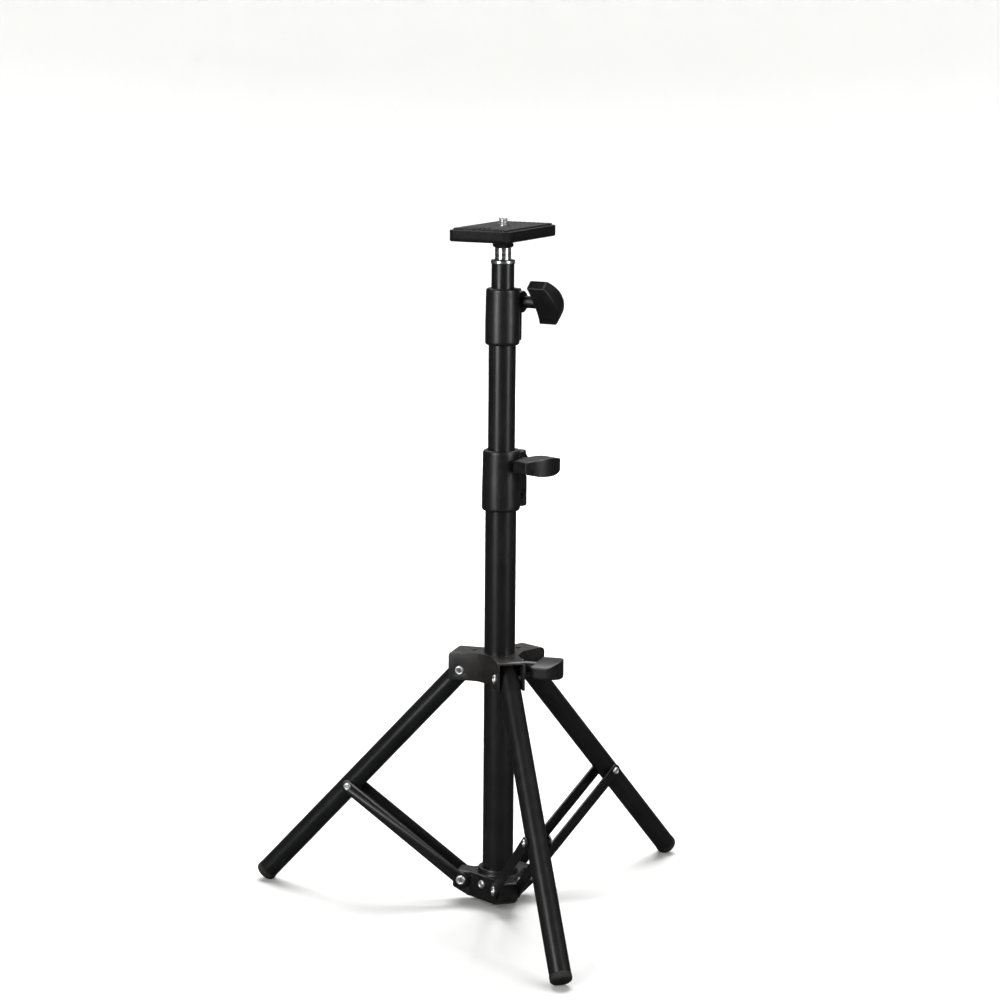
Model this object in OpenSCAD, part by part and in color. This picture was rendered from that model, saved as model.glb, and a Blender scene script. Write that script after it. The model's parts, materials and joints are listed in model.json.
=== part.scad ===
// Three-section folding tripod stand with a small tray head.
// +Z is up, the origin is on the floor under the column, and the front leg points along -Y.
// Angles round the column are counted from the front leg, towards +X.

/* [Column] */
// Outer diameter of the lower tube
lower_tube_d = 22; // [21.5:0.5:24]
// Wall of the lower tube
lower_tube_wall = 1; // [0.8:0.1:1.2]
// Gap round a tube that slides inside another
tube_gap = 0.4; // [0.3:0.1:0.5]
// Wall of the middle and top tubes
inner_tube_wall = 1.2; // [1:0.1:1.4]
// Length of the middle tube
mid_tube_len = 300; // [260:5:310]
// Length of the guide bushing at the foot of each sliding tube
bushing_len = 14; // [10:1:20]
// Height of a bushing's lip below its tube
bushing_lip = 3; // [2:0.5:5]
// Height of the top tube's bushing above the middle tube's bushing
bushing_step = 28.5; // [15:0.5:60]

/* [Collars] */
// Height of the lower collar's underside above the floor
lower_collar_z = 288; // [284:1:296]
// Height of the lower collar
lower_collar_h = 43; // [40:1:48]
// Height of the upper collar's underside above the floor
upper_collar_z = 405; // [395:1:415]
// Height of the upper collar
upper_collar_h = 39.5; // [37:0.5:44]
// Thinnest wall of a collar round its larger tube
collar_wall = 2.1; // [1.8:0.1:2.6]
// Height of tube held in the foot of a collar
collar_seat_h = 18; // [14:1:19]
// Thickness of one clamp ear
ear_t = 5.2; // [4.4:0.2:6]
// Slit between the two clamp ears
ear_slit = 1.6; // [1:0.2:2]
// Wall of an ear beyond its screw
ear_wall = 6; // [5:0.5:7]
// Rounding of an ear's outer corners
ear_corner_r = 2; // [1:0.5:4]
// Diameter of the round boss that a knob bears on
boss_d = 15.4; // [14:0.2:16]
// Height of the lower collar's boss above its ear
lower_boss_h = 1; // [0.8:0.1:2]
// Height of the upper collar's boss above its ear
upper_boss_h = 4.5; // [3:0.5:6]
// Height of a knob's screw below the top of its collar
knob_drop = 10; // [9:0.5:12]
// Height of a clamp screw above the foot of its collar
clamp_screw_rise = 10.5; // [9:0.5:12]
// Direction of the lower collar's knob
lower_knob_turn = 30; // [0:5:60]
// Direction of the upper collar's knob
upper_knob_turn = 49; // [20:1:80]
// Height of the top tube's end above the upper collar
top_tube_show = 17; // [14:1:30]

/* [Lock knobs] */
// Diameter of a knob's screw
knob_screw_d = 5; // [4:0.5:6]
// Diameter of a knob's barrel
knob_barrel_d = 8.6; // [8:0.2:10]
// Length of a knob's barrel up to the wings
knob_barrel_len = 8.5; // [8:0.5:11]
// Distance across the two wings
knob_span = 34; // [30:1:38]
// Height of a wing at its thick end
knob_end_h = 13; // [10:0.5:15]
// Hollow of the wings towards the barrel
knob_belly = 3; // [2:0.5:4]
// Bulge of the wings' outer side
knob_crest = 6.5; // [5:0.5:8]
// Thickness of the wings in the middle
knob_wing_t = 13; // [11:0.2:14]
// Thickness of the wings at their ends
knob_end_t = 8; // [7:0.2:9]
// Height of the crown's knob above the crown's underside
crown_knob_rise = 11; // [10:0.5:12]

/* [Crown] */
// Distance from the column axis to a leg's rivet in the crown
leg_pivot_r = 26.7; // [25:0.5:29]
// Distance from the column axis to the end of a crown arm
crown_arm_r = 35; // [34:0.5:38]
// Width of a crown arm
crown_arm_w = 20; // [19.6:0.2:22]
// Wall of the crown's arms
crown_wall = 1.75; // [1.5:0.05:2]
// Height of the crown
crown_h = 20.5; // [20:0.5:23]
// Height of the leg rivets above the crown's underside
leg_pivot_rise = 7.1; // [6.5:0.1:8]
// Distance from the column axis to the crown's face between two arms
crown_face_r = 15.3; // [15:0.1:17]
// Height of the boss on the crown's face that its knob bears on
crown_boss_h = 2.8; // [2:0.2:4]

/* [Legs and struts] */
// Angle between an open leg and the column
leg_angle = 42.35; // [38:0.05:46]
// Diameter of a leg tube
leg_d = 15; // [14:0.2:15.4]
// Wall of a leg tube
leg_wall = 1; // [0.8:0.1:1.2]
// Distance from a leg's upper rivet to the tip of its foot
leg_len = 227.5; // [210:0.5:240]
// Length of leg tube above the upper rivet
leg_head_len = 7.4; // [7:0.2:8]
// Distance from a leg's upper rivet to its strut rivet
strut_at = 126.5; // [110:0.5:135]
// Length of a foot's plug inside the leg
foot_plug_len = 12; // [9:0.5:16]
// Length of a foot's cap below the leg tube
foot_cap_len = 5; // [4:0.5:8]
// Rounding round the foot's end
foot_round = 2; // [1.5:0.1:3]
// Width of a strut bar
strut_w = 9; // [8:0.2:10]
// Thickness of a strut bar
strut_t = 1.4; // [1.2:0.1:1.8]
// Radius of a strut bar's lower eye
strut_eye_r = 5.8; // [5.2:0.1:6]
// Gap between a strut bar and the side of the leg
strut_gap = 0.3; // [0.3:0.05:0.4]

/* [Spider] */
// Distance from the column axis to a strut's rivet in the spider
strut_pivot_r = 25.2; // [24.8:0.1:27]
// Height of the strut rivets above the floor
strut_pivot_z = 16.4; // [15:0.2:19]
// Height of the spider's underside above the floor
spider_z = 4.5; // [3:0.5:6]
// Height of the spider's hub
spider_hub_h = 22.5; // [20:0.5:25]
// Thickness of the spider's floor under the lower tube
spider_floor_t = 2.5; // [2:0.1:3]
// Distance from the column axis to the end of a spider arm
spider_arm_r = 31.8; // [31:0.2:34]
// Half the height of a spider arm at its rivet
spider_arm_half_h = 6.4; // [6:0.1:7]
// Distance from the column axis to the hub's face between two arms
spider_face_r = 16; // [15.5:0.1:16.4]

/* [Head] */
// Diameter of the silver collar ring on the top tube
spigot_ring_d = 17; // [16.4:0.1:19]
// Height of the silver collar ring
spigot_ring_h = 3; // [2:0.5:4]
// Diameter of the bright spigot
spigot_d = 11.3; // [10:0.1:12]
// Height of the bright spigot above its ring
spigot_h = 8.3; // [6:0.1:12]
// Distance across the flats of the lock nut
head_nut_w = 12.6; // [12:0.2:14]
// Thickness of the lock nut
head_nut_t = 3.3; // [3:0.1:5]
// Short side of the head tray
tray_w = 46; // [42:1:60]
// Long side of the head tray
tray_len = 84; // [76:1:100]
// Height of the head tray
tray_h = 8; // [7:0.5:10]
// Turn of the head tray on the column
tray_turn = -38.6; // [-45:0.2:-30]
// Thickness of the rubber pad on the tray
pad_t = 1.2; // [1:0.1:2]
// Diameter of the mounting screw
head_screw_d = 6.35; // [6:0.05:6.4]
// Height of the mounting screw above the pad
head_screw_show = 6; // [4:0.5:8]
// Diameter of the plain shank below the mounting screw's thread
head_shank_d = 5.6; // [5.4:0.1:5.8]
// Height of the plain shank above the pad
head_neck_h = 0.5; // [0.4:0.1:0.8]

/* [Hidden] */
$fn = 48;

// Directions of the three legs round the column
front = 0;
right = 120;
left = 240;
leg_turns = [front, right, left];

// Clearances
running_gap = 0.08;
part_gap = 0.3;
tiny = 0.01;

// Colours
black_coat = [0.09, 0.09, 0.1];
black_plastic = [0.12, 0.12, 0.13];
black_rubber = [0.06, 0.06, 0.06];
silver = [0.75, 0.75, 0.77];
bright = [0.85, 0.85, 0.87];

// Column, from the floor up
lower_tube_id = lower_tube_d - 2 * lower_tube_wall;
mid_tube_d = lower_tube_id - 2 * tube_gap;
mid_tube_id = mid_tube_d - 2 * inner_tube_wall;
top_tube_d = mid_tube_id - 2 * tube_gap;
top_tube_id = top_tube_d - 2 * inner_tube_wall;
lower_tube_top = lower_collar_z + collar_seat_h;
mid_tube_top = upper_collar_z + collar_seat_h;
top_tube_top = upper_collar_z + upper_collar_h + top_tube_show;
mid_tube_foot = mid_tube_top - mid_tube_len;
top_tube_foot = mid_tube_foot + bushing_len + bushing_step;

// Collars and knobs: both screws of a collar pass just outside the tube that they clamp
ear_half = ear_t + ear_slit / 2;
clamp_screw_d = 4;
clamp_head_d = 7;
clamp_head_sink = 1.4;
screw_to_tube = 0.9;
function knob_screw_x(slide_d) = slide_d / 2 + knob_screw_d / 2 + screw_to_tube;
function clamp_screw_x(seat_d) = seat_d / 2 + clamp_screw_d / 2 + screw_to_tube;

// How far each knob is turned on its screw, as it was left after tightening
lower_knob_spin = 0;
upper_knob_spin = 128;

// Leg and strut geometry: the crown stands where the feet meet the floor
foot_d = leg_d + 0.4;
foot_tip_drop = (leg_len - foot_round) * cos(leg_angle)
    + (foot_d / 2 - foot_round) * sin(leg_angle) + foot_round;
foot_flat_depth = 0.5;
leg_pivot_z = foot_tip_drop - foot_flat_depth;
crown_z = leg_pivot_z - leg_pivot_rise;
strut_top_r = leg_pivot_r + strut_at * sin(leg_angle);
strut_top_z = leg_pivot_z - strut_at * cos(leg_angle);
strut_dr = strut_top_r - strut_pivot_r;
strut_dz = strut_top_z - strut_pivot_z;
strut_len = sqrt(strut_dr * strut_dr + strut_dz * strut_dz);
strut_tilt = atan2(strut_dr, strut_dz);
strut_inner = leg_d / 2 + strut_gap;
strut_outer = strut_inner + strut_t;

// Crown
crown_knob_turn = 60;
crown_bore = lower_tube_d + 2 * running_gap;
crown_sleeve_r = crown_face_r - crown_wall;
crown_boss_r = crown_face_r + crown_boss_h;
crown_boss_d = 11;

// Rivets
crown_rivet_d = 4.6;
crown_rivet_head_d = 6.6;
strut_rivet_d = 3.8;
strut_rivet_head_d = 5.4;
foot_rivet_d = 4.6;
foot_rivet_head_d = 7;
spider_screw_d = 3;
spider_screw_head_d = 6.2;
rivet_head_h = 1.1;

// Head, from the spigot up
spigot_base_z = top_tube_top;
spigot_top_z = spigot_base_z + spigot_ring_h + spigot_h;
tray_hub_z = spigot_top_z + head_nut_t;
tray_hub_h = 2.5;
tray_z = tray_hub_z + tray_hub_h;
pad_z = tray_z + tray_h;
tray_corner_r = 6;
tray_edge_r = 2.4;
head_tip_h = 0.6;

module turned(angle) {
    rotate([0, 0, angle]) children();
}

// Places a piece built along +Z so that it runs towards the front leg
module facing_front() {
    rotate([90, 0, 0]) children();
}

module tube(d, bore, h) {
    difference() {
        cylinder(d = d, h = h);
        translate([0, 0, -1]) cylinder(d = bore, h = h + 2);
    }
}

// A cross pin along X
module cross_cylinder(d, len) {
    rotate([0, 90, 0]) cylinder(d = d, h = len, center = true);
}

// A hollow rivet along X: shank, two rolled heads and a blind hole in each
module hollow_rivet(shank_d, head_d, grip) {
    hole_d = shank_d * 0.5;
    half = grip / 2;
    rotate([0, 90, 0]) rotate_extrude() difference() {
        union() {
            translate([0, -half]) square([shank_d / 2, grip]);
            for (end = [-1, 1]) scale([1, end]) rivet_head_profile(head_d, half);
        }
        for (end = [0, 1]) mirror([0, end]) translate([-tiny, half - 1])
            square([hole_d / 2 + tiny, rivet_head_h + 2]);
    }
}

module rivet_head_profile(head_d, base) {
    rim = rivet_head_h * 0.45;
    polygon([[0, base], [head_d / 2, base], [head_d / 2, base + rim],
        [head_d / 2 - 0.6, base + rivet_head_h], [0, base + rivet_head_h]]);
}

// Column tubes
module lower_tube() {
    base_z = spider_z + spider_floor_t;
    color(black_coat) translate([0, 0, base_z])
        tube(lower_tube_d, lower_tube_id, lower_tube_top - base_z);
}

module mid_tube() {
    color(black_coat) translate([0, 0, mid_tube_foot])
        tube(mid_tube_d, mid_tube_id, mid_tube_top - mid_tube_foot);
}

module top_tube() {
    color(black_coat) translate([0, 0, top_tube_foot])
        tube(top_tube_d, top_tube_id, top_tube_top - top_tube_foot);
}

// A bushing is pushed into the foot of its tube and guides it in the next tube down
module bushing(tube_bore, guide_bore) {
    difference() {
        union() {
            cylinder(d = guide_bore - 2 * running_gap, h = bushing_lip);
            cylinder(d = tube_bore, h = bushing_len);
        }
        translate([0, 0, -1]) cylinder(d = tube_bore - 3, h = bushing_len + 2);
    }
}

module mid_bushing() {
    color(black_plastic) translate([0, 0, mid_tube_foot - bushing_lip])
        bushing(mid_tube_id, lower_tube_id);
}

module top_bushing() {
    color(black_plastic) translate([0, 0, top_tube_foot - bushing_lip])
        bushing(top_tube_id, mid_tube_id);
}

// A split collar: a barrel-shaped sleeve with two clamp ears towards +X, its screws along Y
module collar(h, seat_d, slide_d, boss_h) {
    foot_r = seat_d / 2 + collar_wall + 0.4;
    waist_r = seat_d / 2 + collar_wall + 0.2;
    head_r = seat_d / 2 + collar_wall;
    knob_x = knob_screw_x(slide_d);
    clamp_x = clamp_screw_x(seat_d);
    knob_z = h - knob_drop;
    difference() {
        union() {
            rotate_extrude() polygon([[0, 0], [foot_r - 1.2, 0], [foot_r - 0.3, 0.6], [foot_r, 1.8],
                [waist_r + 0.2, h * 0.4], [waist_r, h * 0.6], [head_r, h - 1.4], [head_r - 0.5, h - 0.4],
                [head_r - 1, h], [0, h]]);
            rotate([90, 0, 0]) linear_extrude(height = 2 * ear_half, center = true) {
                ear_outline(clamp_x + ear_wall, 1.4, h * 0.55);
                ear_outline(knob_x + ear_wall, 1.4, h - 1);
            }
            translate([knob_x, 0, knob_z]) facing_front() cylinder(d = boss_d, h = ear_half + boss_h);
            children();
        }
        translate([0, 0, -1]) cylinder(d = seat_d, h = collar_seat_h + 1);
        translate([0, 0, -1]) cylinder(d = slide_d + 2 * running_gap, h = h + 2);
        translate([0, -ear_slit / 2, -1]) cube([clamp_x + ear_wall + 1, ear_slit, h + 2]);
        // Screw holes through both ears, and the flat pockets that the knob and the screw head sit in
        translate([knob_x, 0, knob_z]) facing_front() {
            cylinder(d = knob_screw_d + 2 * running_gap, h = 4 * ear_half, center = true);
            translate([0, 0, ear_half + boss_h]) cylinder(d = boss_d, h = 2 * ear_half);
        }
        translate([clamp_x, 0, clamp_screw_rise]) facing_front() {
            cylinder(d = clamp_screw_d, h = 4 * ear_half, center = true);
            translate([0, 0, ear_half - clamp_head_sink]) cylinder(d = clamp_head_d + 0.8, h = 2 * ear_half);
        }
    }
}

// An ear's outline from the column axis outwards, with round outer corners
module ear_outline(reach, low, high) {
    r = ear_corner_r;
    translate([0, low]) square([reach - r, high - low]);
    translate([0, low + r]) square([reach, high - low - 2 * r]);
    for (y = [low + r, high - r]) translate([reach - r, y]) circle(r = r);
}

// The web that carries a collar's front face over into its ear
module ear_web(seat_d, low, high) {
    r = seat_d / 2 + collar_wall - 0.2;
    reach = clamp_screw_x(seat_d) + ear_wall - ear_corner_r;
    out = sqrt(reach * reach + ear_half * ear_half);
    angle = -atan2(ear_half, reach) - acos(r / out);
    translate([0, 0, low]) linear_extrude(height = high - low)
        polygon([[0, 0], [r * cos(angle), r * sin(angle)], [reach, -ear_half], [reach, 0]]);
}

// A cross-head screw along -Y through both ears
module clamp_screw() {
    head_h = 2.2;
    facing_front() difference() {
        union() {
            translate([0, 0, -ear_half - 1]) cylinder(d = clamp_screw_d, h = 2 * ear_half);
            translate([0, 0, ear_half - clamp_head_sink]) rotate_extrude()
                polygon([[0, 0], [clamp_head_d / 2, 0], [clamp_head_d / 2, head_h * 0.5],
                    [clamp_head_d / 2 - 0.7, head_h], [0, head_h]]);
        }
        for (turn = [0, 90]) rotate([0, 0, turn]) translate([-2, -0.5, ear_half - 0.6])
            cube([4, 1, 3]);
    }
}

module lower_collar() {
    color(black_plastic) translate([0, 0, lower_collar_z]) turned(lower_knob_turn)
        collar(lower_collar_h, lower_tube_d, mid_tube_d, lower_boss_h)
        ear_web(lower_tube_d, 3, lower_collar_h - 2);
}

module upper_collar() {
    color(black_plastic) translate([0, 0, upper_collar_z]) turned(upper_knob_turn)
        collar(upper_collar_h, mid_tube_d, top_tube_d, upper_boss_h);
}

module lower_clamp_screw() {
    color(silver) turned(lower_knob_turn)
        translate([clamp_screw_x(lower_tube_d), 0, lower_collar_z + clamp_screw_rise]) clamp_screw();
}

module upper_clamp_screw() {
    color(silver) turned(upper_knob_turn)
        translate([clamp_screw_x(mid_tube_d), 0, upper_collar_z + clamp_screw_rise]) clamp_screw();
}

// A wing knob along +Z, its wings along X: a barrel that carries a crescent, thickest in the middle
module wing_knob() {
    difference() {
        union() {
            cylinder(d = knob_barrel_d, h = knob_barrel_len + knob_belly + 2);
            intersection() {
                translate([0, 0, knob_barrel_len]) rotate([90, 0, 0])
                    linear_extrude(height = knob_wing_t + 2, center = true) crescent();
                linear_extrude(height = knob_barrel_len + knob_end_h + knob_crest + 1) lens();
            }
        }
        translate([0, 0, -1]) cylinder(d = knob_screw_d, h = knob_barrel_len + 1);
    }
}

// The wings' outline in the plane of the barrel: hollow towards the barrel, full on the outside
module crescent() {
    half = knob_span / 2;
    inner_r = (half * half + knob_belly * knob_belly) / (2 * knob_belly);
    outer_r = (half * half + knob_crest * knob_crest) / (2 * knob_crest);
    difference() {
        intersection() {
            translate([-half, 0]) square([knob_span, knob_end_h + knob_crest]);
            translate([0, knob_end_h + knob_crest - outer_r]) circle(r = outer_r, $fn = 96);
        }
        translate([0, knob_belly - inner_r]) circle(r = inner_r, $fn = 96);
    }
}

// The wings' outline seen along the barrel
module lens() {
    half = knob_span / 2;
    bulge = (knob_wing_t - knob_end_t) / 2;
    r = (half * half + bulge * bulge) / (2 * bulge);
    intersection() {
        translate([0, r - knob_wing_t / 2]) circle(r = r, $fn = 192);
        translate([0, knob_wing_t / 2 - r]) circle(r = r, $fn = 192);
        square([knob_span, knob_wing_t + 2], center = true);
    }
}

// The steel screw of a knob, from the knob's socket inwards
module knob_screw(reach) {
    translate([0, 0, -reach]) cylinder(d = knob_screw_d, h = reach + knob_barrel_len - 1);
}

// Places a knob's piece at a collar's upper screw, standing on the boss of the front ear
module at_lower_knob() {
    turned(lower_knob_turn) translate([knob_screw_x(mid_tube_d), -ear_half - lower_boss_h - part_gap,
        lower_collar_z + lower_collar_h - knob_drop])
        facing_front() rotate([0, 0, lower_knob_spin]) children();
}

module at_upper_knob() {
    turned(upper_knob_turn) translate([knob_screw_x(top_tube_d), -ear_half - upper_boss_h - part_gap,
        upper_collar_z + upper_collar_h - knob_drop])
        facing_front() rotate([0, 0, upper_knob_spin]) children();
}

module lower_knob() {
    color(black_plastic) at_lower_knob() wing_knob();
}

module lower_knob_screw() {
    color(silver) at_lower_knob() knob_screw(2 * ear_half + lower_boss_h + 1);
}

module upper_knob() {
    color(black_plastic) at_upper_knob() wing_knob();
}

module upper_knob_screw() {
    color(silver) at_upper_knob() knob_screw(2 * ear_half + upper_boss_h + 1);
}

// Distance along an arm at which its side meets the face between two arms
function root_r(face_r, half_w) = 2 * (face_r - half_w * sin(60));

// Points along an arc, from one angle to another
function arc_points(x, y, r, from, to, steps) =
    [for (i = [0:steps]) let (a = from + (to - from) * i / steps) [x + r * cos(a), y + r * sin(a)]];

// Three arms joined by flat faces, as a flat outline
module star(face_r, half_w, reach) {
    root = root_r(face_r, half_w);
    polygon([for (turn = leg_turns) for (p = [[-half_w, root], [-half_w, reach], [half_w, reach],
        [half_w, root]]) [p[0] * cos(turn) + p[1] * sin(turn), p[0] * sin(turn) - p[1] * cos(turn)]]);
}

// The crown slides on the lower tube and carries the legs between its cheeks
module crown() {
    half_w = crown_arm_w / 2;
    inner_half_w = half_w - crown_wall;
    corner = 3.5;
    color(black_coat) translate([0, 0, crown_z]) difference() {
        union() {
            difference() {
                linear_extrude(height = crown_h) star(crown_face_r, half_w, crown_arm_r);
                translate([0, 0, -1]) linear_extrude(height = crown_h - crown_wall + 1)
                    star(crown_sleeve_r, inner_half_w, crown_arm_r + 1);
            }
            cylinder(r = crown_sleeve_r + 0.5, h = crown_h - crown_wall / 2);
            turned(crown_knob_turn) translate([0, 0, crown_knob_rise]) facing_front()
                cylinder(d = crown_boss_d, h = crown_boss_r);
        }
        translate([0, 0, -1]) cylinder(d = crown_bore, h = crown_h + 2);
        turned(crown_knob_turn) translate([0, 0, crown_knob_rise]) facing_front()
            cylinder(d = knob_screw_d + 2 * running_gap, h = crown_boss_r + 2);
        for (turn = leg_turns) turned(turn) {
            translate([0, -leg_pivot_r, leg_pivot_rise]) cross_cylinder(crown_rivet_d, crown_arm_w + 2);
            translate([0, -(crown_face_r + 3), crown_h - 4]) cylinder(d = 4, h = 6);
            // Rounded upper corner of the arm's end
            rotate([90, 0, 90]) linear_extrude(height = crown_arm_w + 2, center = true)
                polygon(concat([[-crown_arm_r - 1, crown_h + 1], [-crown_arm_r - 1, crown_h - corner]],
                    arc_points(-crown_arm_r + corner, crown_h - corner, corner, 180, 90, 5),
                    [[-crown_arm_r + corner, crown_h + 1]]));
        }
    }
}

module crown_rivets() {
    color(silver) for (turn = leg_turns) turned(turn)
        translate([0, -leg_pivot_r, leg_pivot_z])
        hollow_rivet(crown_rivet_d, crown_rivet_head_d, crown_arm_w);
}

module at_crown_knob() {
    turned(crown_knob_turn) translate([0, -crown_boss_r - part_gap, crown_z + crown_knob_rise])
        facing_front() children();
}

module crown_knob() {
    color(black_plastic) at_crown_knob() wing_knob();
}

module crown_knob_screw() {
    color(silver) at_crown_knob() knob_screw(crown_boss_r - lower_tube_d / 2);
}

// Legs: built hanging from the rivet along -Z, then swung out to the open angle
module in_leg(turn) {
    turned(turn) translate([0, -leg_pivot_r, leg_pivot_z]) rotate([-leg_angle, 0, 0]) children();
}

module leg(turn) {
    color(black_coat) in_leg(turn) difference() {
        translate([0, 0, foot_cap_len - leg_len])
            tube(leg_d, leg_d - 2 * leg_wall, leg_len - foot_cap_len + leg_head_len);
        cross_cylinder(crown_rivet_d + 2 * running_gap, leg_d + 2);
        translate([0, 0, -strut_at]) cross_cylinder(strut_rivet_d, leg_d + 2);
    }
}

// A foot is a plug pushed into the leg, with a rounded cap that is flat where it meets the floor
module foot(turn) {
    reach = 2 * leg_len;
    color(black_rubber) intersection() {
        in_leg(turn) translate([0, 0, -leg_len]) union() {
            cylinder(d = leg_d - 2 * leg_wall, h = foot_cap_len + foot_plug_len);
            cylinder(d = foot_d - 2 * foot_round, h = foot_cap_len);
            translate([0, 0, foot_round]) cylinder(d = foot_d, h = foot_cap_len - foot_round);
            translate([0, 0, foot_round]) rotate_extrude()
                translate([foot_d / 2 - foot_round, 0]) circle(r = foot_round, $fn = 32);
        }
        translate([-reach / 2, -reach / 2, 0]) cube([reach, reach, leg_len]);
    }
}

// The shank of a strut rivet inside its leg, flush with the tube
module leg_pin(turn) {
    color(silver) in_leg(turn) intersection() {
        translate([0, 0, -strut_at]) cross_cylinder(strut_rivet_d, leg_d);
        translate([0, 0, -strut_at - leg_d / 2]) cylinder(d = leg_d, h = leg_d);
    }
}

// Struts: pairs of flat bars, built standing on the lower rivet along +Z, then swung out
module in_strut(turn) {
    turned(turn) translate([0, -strut_pivot_r, strut_pivot_z]) rotate([strut_tilt, 0, 0]) children();
}

module strut_bar(turn, side) {
    middle = side * (strut_inner + strut_t / 2);
    color(black_coat) in_strut(turn) translate([middle, 0, 0]) difference() {
        union() {
            cross_cylinder(2 * strut_eye_r, strut_t);
            translate([-strut_t / 2, -strut_w / 2, 0]) cube([strut_t, strut_w, strut_len]);
            translate([0, 0, strut_len]) cross_cylinder(strut_w, strut_t);
        }
        cross_cylinder(foot_rivet_d + 2 * running_gap, strut_t + 2);
        translate([0, 0, strut_len]) cross_cylinder(strut_rivet_d, strut_t + 2);
    }
}

// The two ends of a strut's upper rivet, one on each bar
module strut_rivets(turn) {
    hole_d = strut_rivet_d * 0.5;
    color(silver) in_strut(turn) for (side = [0, 1]) mirror([side, 0, 0])
        translate([0, 0, strut_len]) rotate([0, 90, 0]) difference() {
            union() {
                translate([0, 0, strut_inner]) cylinder(d = strut_rivet_d, h = strut_t);
                rotate_extrude() rivet_head_profile(strut_rivet_head_d, strut_outer);
            }
            translate([0, 0, strut_outer - 0.4]) cylinder(d = hole_d, h = 4);
        }
}

// The spider closes the foot of the column and holds the struts
module spider() {
    half_w = leg_d / 2 - 0.3;
    bottom = spider_z;
    top = strut_pivot_z + spider_arm_half_h;
    arm_bottom = strut_pivot_z - spider_arm_half_h;
    tip = spider_arm_r;
    root = root_r(spider_face_r, half_w) + 0.5;
    color(black_plastic) difference() {
        union() {
            translate([0, 0, bottom]) linear_extrude(height = top - bottom)
                star(spider_face_r, half_w, tip);
            translate([0, 0, top - 1]) cylinder(r1 = spider_face_r - 1.4, r2 = spider_face_r - 2,
                h = bottom + spider_hub_h - top + 1);
        }
        translate([0, 0, bottom + spider_floor_t]) cylinder(d = lower_tube_d, h = spider_hub_h + 10);
        translate([0, 0, bottom - 1]) cylinder(d = lower_tube_id - 6, h = spider_hub_h);
        for (turn = leg_turns) turned(turn) {
            translate([0, -strut_pivot_r, strut_pivot_z]) cross_cylinder(foot_rivet_d, 2 * half_w + 2);
            // The arm rises underneath towards its tip, which leans back at the top
            rotate([90, 0, 90]) linear_extrude(height = 2 * half_w + 2, center = true)
                polygon([[-root, bottom], [-tip + 1, arm_bottom], [-tip, arm_bottom + 1],
                    [-tip - 2, arm_bottom + 1], [-tip - 2, bottom - 2], [-root, bottom - 2]]);
            rotate([90, 0, 90]) linear_extrude(height = 2 * half_w + 2, center = true)
                polygon([[-tip, top - 5], [-tip + 1.6, top - 1.2], [-tip + 3, top], [-tip + 3, top + 2],
                    [-tip - 2, top + 2], [-tip - 2, top - 5]]);
            turned(60) translate([0, -spider_face_r - 1, strut_pivot_z]) rotate([-90, 0, 0])
                cylinder(d = spider_screw_d, h = spider_face_r + 1 - lower_tube_id / 2 + 1);
        }
    }
}

// Three hollow rivets fix the spider to the tube, one between each pair of arms
module spider_screws() {
    shank = spider_face_r - lower_tube_d / 2;
    color(silver) for (turn = leg_turns) turned(turn + 60)
        translate([0, -lower_tube_d / 2, strut_pivot_z]) facing_front() rotate_extrude() difference() {
            union() {
                square([spider_screw_d / 2, shank]);
                rivet_head_profile(spider_screw_head_d, shank);
            }
            translate([-tiny, shank]) square([0.8 + tiny, 4]);
        }
}

module strut_foot_rivets() {
    color(silver) for (turn = leg_turns) turned(turn)
        translate([0, -strut_pivot_r, strut_pivot_z])
        hollow_rivet(foot_rivet_d, foot_rivet_head_d, 2 * strut_outer + 2 * running_gap);
}

// Head
module spigot() {
    plug_len = 18;
    color(bright) translate([0, 0, spigot_base_z]) rotate_extrude()
        polygon([[0, -plug_len], [top_tube_id / 2, -plug_len], [top_tube_id / 2, 0], [spigot_ring_d / 2 - 0.3, 0],
            [spigot_ring_d / 2, 0.4], [spigot_ring_d / 2, spigot_ring_h - 0.8],
            [spigot_ring_d / 2 - 0.8, spigot_ring_h], [spigot_d / 2, spigot_ring_h],
            [spigot_d / 2, spigot_ring_h + spigot_h - 0.4], [spigot_d / 2 - 0.4, spigot_ring_h + spigot_h],
            [0, spigot_ring_h + spigot_h]]);
}

module head_nut() {
    color(black_coat) translate([0, 0, spigot_top_z]) difference() {
        intersection() {
            cylinder(d = head_nut_w / cos(30), h = head_nut_t, $fn = 6);
            cylinder(d = head_nut_w * 1.1, h = head_nut_t);
        }
        translate([0, 0, -1]) cylinder(d = head_screw_d, h = head_nut_t + 2);
    }
}

// A rounded slab with its lower edge eased, on a flared hub
module head_tray() {
    hub_d = 24;
    color(black_plastic) translate([0, 0, tray_hub_z]) turned(tray_turn) difference() {
        union() {
            translate([0, 0, tray_hub_h]) rounded_slab(tray_w, tray_len, tray_corner_r, tray_edge_r, tray_h);
            rotate_extrude() polygon([[0, 0], [head_nut_w / 2 + 0.2, 0], [head_nut_w / 2 + 0.8, 0.6],
                [head_nut_w / 2 + 2.2, 1.4], [hub_d / 2 - 1.4, 2.1], [hub_d / 2 + 1, 2.6],
                [hub_d / 2 + 1, tray_hub_h + 1], [0, tray_hub_h + 1]]);
        }
        translate([0, 0, -1]) cylinder(d = head_screw_d, h = tray_hub_h + tray_h + 2);
        // Strap slots near the two ends
        for (end = [-1, 1]) translate([-tray_w * 0.28, end * tray_len * 0.4 - 2, 0])
            cube([tray_w * 0.56, 4, tray_hub_h + tray_h + 2]);
    }
}

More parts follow.
